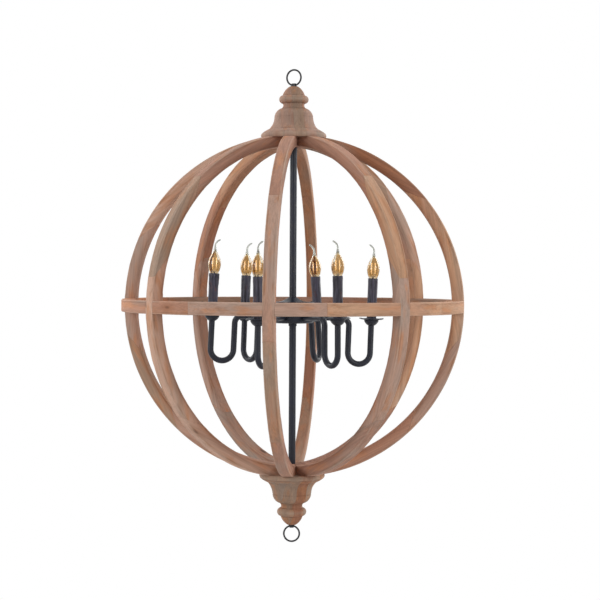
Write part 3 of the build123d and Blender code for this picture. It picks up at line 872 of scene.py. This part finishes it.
def make_band():
    ends = [(board_end(BAND_SEAM + 45.0 * k - 90.0, 0.0), True) for k in range(9)]
    name, half_width = "sawn_band", BAND_HEIGHT / 2
    band, boards = make_boards(name, ends, BAND_TONES, 31, half_width, near_rib, UPRIGHT, False)
    outwards = Matrix.Rotation(pi / 2, 4, "Y")
    half_lap = RIB_WIDTH / 2 + LAP_ROOM
    cutters = []
    for i in range(8):
        place = turn_to(45.0 * i)
        cutters.append(box_mesh((LAP_RADIUS, 500.0), (-half_lap, half_lap), (-30.0, 30.0), place))
        cutters.append(bar_mesh(SCREW_RECESS, 415.0, RIB_INSIDE + SCREW_SEAT, place @ outwards))
    carve(band, cutters)
    paint_boards(band, boards, hoop_of(UPRIGHT, False), half_width)
    finish_piece(band, SAWN, "frame", ["equator_ring"])


for i, ((seams, slants), tones) in enumerate(RIBS):
    make_rib(i, seams, slants, tones)
make_band()


# ---------------- finials

FINIAL = outline(
    (BORE, 0.0),
    (85.9, 0.0),
    ((88.0, 7.6), (84.2, 13.2)),
    ((76.6, 18.3), (65.9, 23.8)),
    ((56.4, 37.5), (52.1, 55.9)),
    ((46.9, 70.4), (35.9, 79.2)),
    ((28.6, 87.2), (30.2, 93.0)),
    ((39.7, 104.0), (30.2, 114.8)),
    ((22.6, 129.2), (12.2, 138.5)),
    (BORE, 138.5),
)
GROOVES = (13.2, 23.8, 55.9, 79.2, 93.0, 114.8)


def finial(name, seed, place, material, node, turned):
    def worn(radius, height, angle):
        x, y = cos(angle), sin(angle)
        if radius < BORE + 0.1:
            return radius, height
        r = radius + 0.5 * lumps(seed, x * radius, y * radius, height, 26.0)
        r += 0.2 * lumps(seed + 3, x * radius, y * radius, height, 7.0)
        if 1.0 < height < 13.5 and radius > 80.0:
            r += 0.9 * lumps(seed + 5, x * 88.0, y * 88.0, height, 16.0) - 0.3
        dip = max(0.0, 1.0 - min(abs(height - g) for g in GROOVES) / 0.9)
        return r - 0.6 * dip, height

    mesh = lathe(name, divided(FINIAL, 2.0), 128, worn)
    mesh.transform(Matrix.Translation((0.0, 0.0, POLE_FLAT)))
    thing = new_object(name, mesh, place)
    back = np.array((place @ Matrix.Rotation(radians(turned), 4, "Z")).inverted().to_3x3())
    points = read_all(mesh.vertices, "co").reshape(-1, 3)
    local = (points - np.array(CENTRE)) @ back.T
    grain = np.stack([local[:, 2], local[:, 0] + 0.012, local[:, 1]], axis=1).astype(np.float32)
    radius, height = np.hypot(local[:, 0], local[:, 1]) / MM, local[:, 2] / MM - POLE_FLAT
    wear = np.clip((radius - 82.0) / 6.0, 0.0, 1.0)
    wear += np.clip(1.0 - np.abs(height - 104.0) / 6.0, 0, 1) * (radius > 36)
    # Painted shade: the finial is darkened towards its neck, near the pole.
    shade = np.clip((30.0 - radius) / 14.0, 0.0, 0.35)
    groove = np.min(np.abs(height[:, None] - np.array(GROOVES)), axis=1)
    grime = np.clip(1.0 - groove / 2.2, 0.0, 1.0) * (radius > 12.0)
    marks_and_shade = np.stack([np.clip(wear, 0, 1), shade, grime], axis=1).astype(np.float32)
    vertex_layer(mesh, "grain", "FLOAT_VECTOR", grain.ravel())
    vertex_layer(mesh, "marks_and_shade", "FLOAT_VECTOR", marks_and_shade.ravel())
    return finish_piece(thing, material, "frame", [node], 50.0)


finial("turned_finial_top", 2.0, UPRIGHT, TOP_TURNED, "top_finial", 20.0)
finial("turned_finial_bottom", 7.0, FLIP, LOW_TURNED, "bottom_finial", -35.0)


# ---------------- iron


def make_hung_ring(side, place, turns=120, sides=18):
    points = []
    for i in range(turns):
        a = 2 * pi * i / turns
        weld = 0.35 * max(0.0, 1.0 - abs(i - 47) / 3.0)
        for j in range(sides):
            b = 2 * pi * j / sides
            r = RING_WIRE + weld + 0.08 * lumps(4, 20 * cos(a), 20 * sin(a), b, 7.0)
            out = RING_MAJOR + r * cos(b)
            up = out * sin(a) + RING_CENTRE
            points.append((out * cos(a), r * sin(b), up))
    mesh = new_mesh("ring", points, tube_faces(turns, sides, closed=True))
    turn = Matrix.Rotation(radians(RING_TURNS[side]), 4, "Z") @ place
    ring = new_object(f"hung_ring_{side}", mesh, turn)
    finish_piece(ring, RING_IRON, f"{side}_link", [f"{side}_ring"])


def make_stem():
    low, high = HUB_BOTTOM - COLLAR_HEIGHT, HUB_BOTTOM
    collar = [
        (STEM_RADIUS, low),
        (COLLAR_RADIUS - COLLAR_CHAMFER, low),
        (COLLAR_RADIUS, low + COLLAR_CHAMFER),
        (COLLAR_RADIUS, high - COLLAR_CHAMFER),
        (COLLAR_RADIUS - COLLAR_CHAMFER, high),
        (STEM_RADIUS, high),
    ]
    end = APEX - 1.0
    profile = [(STEM_BORE, -end), (STEM_RADIUS, -end)] + collar
    profile += [(STEM_RADIUS, end), (STEM_BORE, end)]

    def wander(radius, height, angle):
        if radius < STEM_RADIUS - 1.0:
            return radius, height
        push = lumps(9, 6 * cos(angle), 6 * sin(angle), height, 22.0)
        return radius + 0.09 * push, height

    turned("iron_stem", profile, 12.0, 32, wander, UPRIGHT, "stem")


def turned(name, profile, step, sides, change, place, node, material=IRON, sharp=35.0):
    """A turned piece on the frame, its profile divided so that change has points to move."""
    thing = new_object(name, lathe(name, divided(profile, step), sides, change), place)
    finish_piece(thing, material, "frame", [node], sharp)


def dented(seed, amount):
    """A change for lathe() that dents what is turned, but not its bore."""

    def change(radius, height, angle):
        if radius < 12.0:
            return radius, height
        push = lumps(seed, radius * cos(angle), radius * sin(angle), height, 24.0)
        return radius + amount * push, height

    return change


def corner(radius, centre, floor):
    """The middle and end of a quarter turn outwards and up, from a floor to a wall."""
    turned = math.sqrt(0.5)
    middle = (centre + radius * turned, floor + radius * (1 - turned))
    return middle, (centre + radius, floor + radius)


def make_hub():
    flat = HUB_RADIUS - HUB_CORNER
    inside = HUB_CORNER - HUB_WALL
    outer, outer_end = corner(HUB_CORNER, flat, HUB_BOTTOM)
    inner, _ = corner(inside, flat, HUB_BOTTOM + HUB_WALL)
    drum = outline(
        (BORE, HUB_BOTTOM),
        (flat, HUB_BOTTOM),
        (outer, outer_end),
        (HUB_RADIUS, HUB_RIM - 1.6),
        ((HUB_RADIUS + 0.5, HUB_RIM - 0.8), (HUB_RADIUS, HUB_RIM)),
        (HUB_RADIUS - HUB_WALL, HUB_RIM),
        (HUB_RADIUS - HUB_WALL, HUB_BOTTOM + HUB_CORNER),
        (inner, (flat, HUB_BOTTOM + HUB_WALL)),
        (BORE, HUB_BOTTOM + HUB_WALL),
    )
    skirt = HUB_RADIUS - HUB_WALL - 0.1
    lid = outline(
        (HUB_RADIUS, HUB_RIM + 0.05),
        ((HUB_RADIUS + 0.6, HUB_RIM + 1.0), (HUB_RADIUS, HUB_RIM + 2)),
        ((34.2, HUB_RIM + 3.05), (BORE + 2, HUB_RIM + COVER_HEIGHT)),
        (BORE, HUB_RIM + COVER_HEIGHT),
        (BORE, HUB_RIM + COVER_HEIGHT - 2),
        ((32.2, HUB_RIM + 1.05), (skirt - 2, HUB_RIM)),
        (skirt - 2, HUB_RIM - COVER_SKIRT),
        (skirt, HUB_RIM - COVER_SKIRT),
        (skirt, HUB_RIM + 0.05),
    )
    turned("iron_hub", drum, 5.0, 96, dented(5, 0.25), UPRIGHT, "hub_body")
    turned("iron_hub_cover", lid, 5.0, 96, dented(6, 0.2), UPRIGHT, "hub_cover")


make_hung_ring("top", UPRIGHT)
make_hung_ring("bottom", FLIP)
make_stem()
make_hub()


# ---------------- arms and candles


def arm_place(angle, droop, twist):
    root = Matrix.Translation((HUB_RADIUS, 0.0, ARM_LEVEL))
    lean = Matrix.Rotation(radians(twist), 4, "X")
    lean = lean @ Matrix.Rotation(radians(droop), 4, "Y")
    return turn_to(angle) @ root @ lean @ root.inverted()


CANDLE_AXIS = Matrix.Translation((CANDLE_CIRCLE, 0.0, 0.0))
CUP = outline(
    (NIPPLE_BORE, ARM_END),
    (8.9, ARM_END),
    ((15.1, -42.9), (CUP_RADIUS, CUP_TOP - 3.0)),
    (CUP_RADIUS, CUP_TOP - 0.6),
    (CUP_RADIUS - 0.6, CUP_TOP),
    (NIPPLE_BORE, CUP_TOP),
)
BULB = [(8.3, -14.0), (11.2, 0.0), (15.1, 10.5), (17.2, 23.5)]
BULB += [(15.1, 38.0), (8.7, 51.5), (4.7, 60.5), (2.9, 68.0)]
BULB_WALL = 1.0
BULB_CAVITY_TOP = 64.0
TAIL = walk((0.0, BULB[-1][1]), 90.0, [(4.0,), (20.0, -65.0)], 2.0)
TAIL_END = 2.2
MOUNT = [(0.05, -14.0), (5.0, -14.0), (4.4, -8.0), (2.8, -2.0)]
MOUNT += [(2.5, 4.8), (6.0, 5.0), (6.0, 6.0), (0.05, 6.0)]
FILAMENT = [(0.05, 6.0), (0.35, 6.0), (0.35, 16.5), (0.9, 17.0)]
FILAMENT += [(0.95, 41.0), (0.5, 41.6), (0.05, 42.0)]


def smooth_curve(points, steps):
    """Points on a smooth curve through the given ones."""
    ends = [points[0]] + list(points) + [points[-1]]
    out = []
    for a, b, c, d in zip(ends, ends[1:], ends[2:], ends[3:]):
        for i in range(steps):
            t = i / steps
            point = []
            for k in (0, 1):
                slope = c[k] - a[k]
                bend = 2 * a[k] - 5 * b[k] + 4 * c[k] - d[k]
                twist = 3 * b[k] - a[k] - 3 * c[k] + d[k]
                point.append(0.5 * (2 * b[k] + slope * t + bend * t**2 + twist * t**3))
            out.append(tuple(point))
    out.append(points[-1])
    return out


def make_arm(i, place):
    path = walk(
        (HUB_RADIUS + 0.4, ARM_LEVEL),
        0.0,
        [
            (DROP_CIRCLE - ARM_BEND - HUB_RADIUS - 0.4,),
            (ARM_BEND, -90.0),
            (ARM_LEVEL - ARM_BEND - (U_BOTTOM + U_BEND),),
            (U_BEND, 180.0),
            (ARM_END - (U_BOTTOM + U_BEND),),
        ],
        4.0,
    )

    def hammered(n, angle):
        push = lumps(i, n * 4.0, 6 * cos(angle), 6 * sin(angle), 16.0)
        return ARM_RADIUS + 0.1 * push

    def threaded(n, angle):
        return NIPPLE_RADIUS - 0.25 * (n % 2)

    points = swept_rings(path, hammered, 24)
    faces = tube_faces(len(path), 24)
    for low, high, axis in (
        ((HUB_RADIUS - 9.5, ARM_LEVEL), (HUB_RADIUS + 3.0, ARM_LEVEL), 0.0),
        ((CANDLE_CIRCLE, ARM_END - 3.0), (CANDLE_CIRCLE, -35.0), 90.0),
    ):
        rod = walk(low, axis, [(math.dist(low, high),)], 2.0)
        faces += tube_faces(len(rod), 16, len(points))
        points += swept_rings(rod, threaded, 16)
    arm = new_object(f"iron_arm_{i}", new_mesh("arm", points, faces), place)
    finish_piece(arm, IRON, "frame", [f"arm_{i}"])


def make_pan(i, axis):
    rand = random.Random(40 + i)
    phase, tilt = rand.uniform(-0.5, 0.5), rand.uniform(0.0, 6.28)
    lobes, lean = rand.uniform(1.0, 1.6), rand.uniform(0.4, 1.0)

    def wavy(radius, height, angle):
        w = max(0.0, (radius - 18.5) / 14.5)
        lift = w**1.4 * (lobes * cos(4 * angle + 4 * phase) + lean * cos(angle - tilt))
        nick = lumps(i, 9 * cos(angle), 9 * sin(angle), 0, 5.0)
        reach = 1.0 + 0.02 * w * cos(4 * angle + 1.0) + 0.012 * w * nick
        return radius * reach, height + lift

    top = [(20.5, 0.0), (23.0, 0.9), (26.0, 2.3), (28.5, 3.1), (30.8, 3.0), (32.4, 2.3)]
    profile = [(NIPPLE_BORE, CUP_TOP), (CUP_RADIUS, CUP_TOP)]
    profile += [(r, CUP_TOP + z) for r, z in top] + [(PAN_RADIUS, CUP_TOP + 2.6)]
    profile += [(r, PAN_TOP + z) for r, z in reversed(top)] + [(NIPPLE_BORE, PAN_TOP)]
    turned(f"iron_pan_{i}", profile, 1.6, 96, wavy, axis, f"pan_{i}", sharp=60.0)


def make_sleeve(i, axis):
    drip = 1.7 if i == 5 else 0.6
    rand = random.Random(60 + i)
    limits = ((0, 6.28), (18.0, 46.0), (0.25, 0.5))
    runs = [tuple(rand.uniform(*pair) for pair in limits) for _ in range(7)]

    def wax(radius, height, angle):
        if radius < SLEEVE_RADIUS - 0.5:
            return radius, height
        down = SLEEVE_TOP - height
        edge = 0.0
        for at, length, width in runs:
            off = abs((angle - at + pi) % (2 * pi) - pi)
            run = max(0.0, 1.0 - (off / width) ** 2)
            edge = max(edge, run * held((length - down) / 5.0))
        skirt = held((15.0 + 4 * sin(3 * angle + i) - down) / 4.0)
        x, y = 12 * cos(angle), 12 * sin(angle)
        r = radius + drip * (0.8 * max(edge, skirt) + 0.2 * edge * skirt)
        r += 0.15 * lumps(i, x, y, height, 14.0)
        r += 0.25 * drip * skirt * lumps(i + 9, x, y, height, 4.0)
        return r, height + (0.6 * sin(2 * angle + i) if down < 0.5 else 0.0)

    profile = [
        (SLEEVE_BORE, PAN_TOP),
        (SLEEVE_RADIUS, PAN_TOP),
        (SLEEVE_RADIUS, SLEEVE_TOP - 0.8),
        (SLEEVE_RADIUS - 0.2, SLEEVE_TOP - 0.2),
        (SLEEVE_RADIUS - 0.6, SLEEVE_TOP),
        (SLEEVE_BORE + 0.2, SLEEVE_TOP),
        (SLEEVE_BORE, SLEEVE_TOP - 0.4),
    ]
    turned(f"candle_sleeve_{i}", profile, 2.2, 64, wax, axis, f"sleeve_{i}", CANDLE, 60.0)


def make_bulb(i, axis, turn):
    spot = axis @ Matrix.Translation((0.0, 0.0, SLEEVE_TOP))
    spot = spot @ Matrix.Rotation(radians(turn), 4, "Z")
    sides = 48
    outer = smooth_curve(BULB, 7)
    inner = [(max(0.05, r - BULB_WALL), z) for r, z in outer if z < 60.0]
    inner += [(1.4, BULB_CAVITY_TOP - 1.6), (0.05, BULB_CAVITY_TOP)]
    points, tint = [], []

    def ring(radius, x, z, heading, clear):
        """Adds a ring of points, clear in two upright strips and low down."""
        for j in range(sides):
            a = 2 * pi * j / sides
            up = radius * cos(a)
            points.append((x + up * sin(heading), radius * sin(a), z - up * cos(heading)))
            off = abs(abs((a + pi) % (2 * pi) - pi) - radians(50.0))
            strip = max(0.0, 1.0 - off / radians(17.0)) * held((z - 34.0) / 4.0)
            low = 0.6 * held((9.0 - z) / 9.0)
            tint.append(max(clear, held(1.5 * strip), low))

    for r, z in reversed(inner):
        ring(r, 0.0, z, pi / 2, 0.0)
    for r, z in outer:
        ring(r, 0.0, z, pi / 2, 2.0 * held((z - 54.0) / 5.0))
    for n, (x, z, h) in enumerate(TAIL[1:]):
        t = n / (len(TAIL) - 2)
        ring(2.75 - 0.5 * t + 0.1 * sin(6 * t), x, z, h, 2.0)
    x, z, h = TAIL[-1]
    for k in range(1, 5):
        a = pi / 2 * k / 4
        d = TAIL_END * sin(a)
        r = max(0.05, TAIL_END * cos(a))
        ring(r, x + d * cos(h), z + d * sin(h), h, 2.0)
    faces = tube_faces(len(points) // sides, sides)
    mesh = new_mesh("bulb", points, faces, merge=False)
    vertex_layer(mesh, "tint", "FLOAT", tint)
    glass = new_object(f"amber_bulb_{i}", mesh, spot)
    finish_piece(glass, GLASS, f"bulb_{i}", [f"bulb_glass_{i}"], 60.0)
    make_core(i, spot)


def make_core(i, spot):
    """The threaded cap, the glass mount with its disc, and four upright filaments."""
    parts = []
    cap = [(0.05, -33.5), (3.2, -33.5), (3.45, -33.0), (3.45, -32.2), (6.2, -31.6)]
    for n in range(25):
        z = -31.0 + n * 0.58
        cap.append((6.55 + 0.35 * sin(n * pi / 3), z))
    cap += [(6.9, -16.4), (6.9, -15.5), (8.2, -15.5), (8.2, -14.0), (0.05, -14.0)]
    parts.append((lathe("cap", cap, 32, None, False), 0.0, UPRIGHT))
    parts.append((lathe("mount", MOUNT, 24, None, False), 1.0, UPRIGHT))
    for x in (-4.9, 4.9):
        for y in (-1.6, 1.6):
            shift = Matrix.Translation((x, y, 0.0))
            parts.append((lathe("rod", FILAMENT, 12, None, False), 2.0, shift))
    points, faces, labels = [], [], []
    for mesh, label, shift in parts:
        start = len(points)
        mesh.transform(shift)
        points += [tuple(v.co) for v in mesh.vertices]
        # A filament's wire, below its glowing length, is the mount's
        labels += [1.0 if label == 2.0 and v.co.z <= 15.7 else label for v in mesh.vertices]
        faces += [tuple(start + k for k in p.vertices) for p in mesh.polygons]
        bpy.data.meshes.remove(mesh)
    mesh = new_mesh("core", points, faces, merge=False)
    vertex_layer(mesh, "part", "FLOAT", labels)
    core = new_object(f"bulb_stem_{i}", mesh, spot)
    finish_piece(core, CORE, f"bulb_{i}", [f"bulb_core_{i}"])


for i, (angle, droop, twist, tail) in enumerate(ARMS, 1):
    place = arm_place(angle, droop, twist)
    make_arm(i, place)
    axis = place @ CANDLE_AXIS
    turned(f"iron_cup_{i}", CUP, 2.5, 64, dented(i, 0.1), axis, f"cup_{i}", sharp=40.0)
    make_pan(i, axis)
    make_sleeve(i, axis)
    make_bulb(i, axis, tail - angle)


# ---------------- nodes kept from the drawing

KEPT = {
    "top_block": BLOCK,
    "bottom_block": BLOCK,
    "wood_screws": STEEL,
    "hub_nuts": STEEL,
    "top_eye": RING_IRON,
    "bottom_eye": RING_IRON,
    "lampholders": HOLDER,
    "wiring": WIRE,
}
for node, material in KEPT.items():
    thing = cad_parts[node]
    if not thing.material_slots:
        thing.data.materials.append(material)
    for slot in thing.material_slots:
        slot.material = material


# ---------------- studio


def lamp(name, azimuth, elevation, distance, size, power):
    data = bpy.data.lights.new(name, "AREA")
    data.shape, data.size, data.energy = "DISK", size, power
    light = link(bpy.data.objects.new(name, data))
    a, e = radians(azimuth), radians(elevation)
    back = Vector((sin(a) * cos(e), -cos(a) * cos(e), sin(e)))
    light.location = CENTRE + back * distance
    light.rotation_euler = (-back).to_track_quat("-Z", "Y").to_euler()


lamp("key", -40.0, 15.0, 4.2, 2.2, 57.0)
lamp("fill", 54.0, 12.0, 4.5, 2.2, 61.0)
lamp("left_back", -118.0, 18.0, 4.2, 2.4, 58.0)
lamp("right_back", 132.0, 18.0, 4.2, 2.4, 58.0)
lamp("above", 180.0, 80.0, 4.0, 2.6, 30.0)


def make_world():
    """White to the camera and in what metal and glass show, and softer light on the object."""
    world = bpy.data.worlds.new("studio")
    bpy.context.scene.world = world
    world.use_nodes = True
    nodes, links = world.node_tree.nodes, world.node_tree.links
    background = nodes["Background"]
    background.inputs["Color"].default_value = WHITE
    path = nodes.new("ShaderNodeLightPath")
    seen = path.outputs["Is Camera Ray"]
    for ray in ("Is Glossy Ray", "Is Transmission Ray"):
        either = nodes.new("ShaderNodeMath")
        either.operation, either.use_clamp = "ADD", True
        links.new(seen, either.inputs[0])
        links.new(path.outputs[ray], either.inputs[1])
        seen = either.outputs[0]

    # What lights the object is weaker on the camera's side, as in a light tent
    sky = nodes.new("ShaderNodeTexCoord")
    parts = nodes.new("ShaderNodeSeparateXYZ")
    links.new(sky.outputs["Generated"], parts.inputs[0])
    tent = nodes.new("ShaderNodeMapRange")
    sockets = {"From Min": -0.7, "From Max": 0.4, "To Min": 0.32, "To Max": 0.75}
    for key, value in sockets.items():
        tent.inputs[key].default_value = value
    links.new(parts.outputs[1], tent.inputs["Value"])
    strength = nodes.new("ShaderNodeMapRange")
    strength.inputs["To Max"].default_value = 1.0
    links.new(seen, strength.inputs["Value"])
    links.new(tent.outputs["Result"], strength.inputs["To Min"])
    links.new(strength.outputs["Result"], background.inputs["Strength"])


FLOOR_RADIUS = 2.05
FLOOR_DROP = 1.75


def make_floor():
    """A pale disc under the lamp, which fades out before its edge and isn't seen from below."""
    s = Shader("floor")
    place = s.place()
    from_middle = s.node("VectorMath", {0: place}, operation="LENGTH").outputs["Value"]
    far = s.span(from_middle, 0.9, 2.0)
    mottle = s.span(s.noise(place, (3.0,) * 3, 3.0), 0.3, 0.7)
    pale = s.mix(mottle, (0.80, 0.79, 0.78, 1.0), (0.84, 0.83, 0.82, 1.0))
    ground = s.node("BsdfDiffuse", {"Color": pale}).outputs[0]
    clear = s.node("BsdfTransparent").outputs[0]
    under = s.node("NewGeometry").outputs["Backfacing"]
    blend = s.node("MixShader", {0: s.math("MAXIMUM", far, under), 1: ground, 2: clear})
    s.tree.links.new(blend.outputs[0], s.output.inputs["Surface"])
    count = 96
    ring = []
    for k in range(count):
        a = 2 * pi * k / count
        ring.append((FLOOR_RADIUS * cos(a), FLOOR_RADIUS * sin(a), 0.0))
    mesh = bpy.data.meshes.new("floor")
    mesh.from_pydata(ring, [], [tuple(range(count))])
    mesh.materials.append(s.material)
    floor = link(bpy.data.objects.new("floor", mesh))
    floor.location = (0.0, 0.0, CENTRE.z - FLOOR_DROP)


# The photograph's camera: degrees to the right of the front rib, metres from the orb's centre
# and above it, degrees down and rolled
AZIMUTH = 7.44
DISTANCE = 4.618
HEIGHT = 0.1033
PITCH_DOWN = 0.189
ROLL = 0.305


def make_camera():
    data = bpy.data.cameras.new("camera")
    data.sensor_width, data.lens = 36.0, 102.74
    data.shift_x, data.shift_y = 0.0118, -0.045
    data.clip_start, data.clip_end = 0.05, 60.0
    camera = link(bpy.data.objects.new("camera", data))
    a = radians(AZIMUTH)
    camera.matrix_world = (
        Matrix.Translation(CENTRE + Vector((sin(a), -cos(a), 0.0)) * DISTANCE)
        @ Matrix.Translation((0.0, 0.0, HEIGHT))
        @ Matrix.Rotation(a, 4, "Z")
        @ Matrix.Rotation(radians(90.0 - PITCH_DOWN), 4, "X")
        @ Matrix.Rotation(radians(ROLL), 4, "Z")
    )
    bpy.context.scene.camera = camera


make_world()
make_floor()
make_camera()
bpy.context.scene.view_settings.view_transform = "Standard"
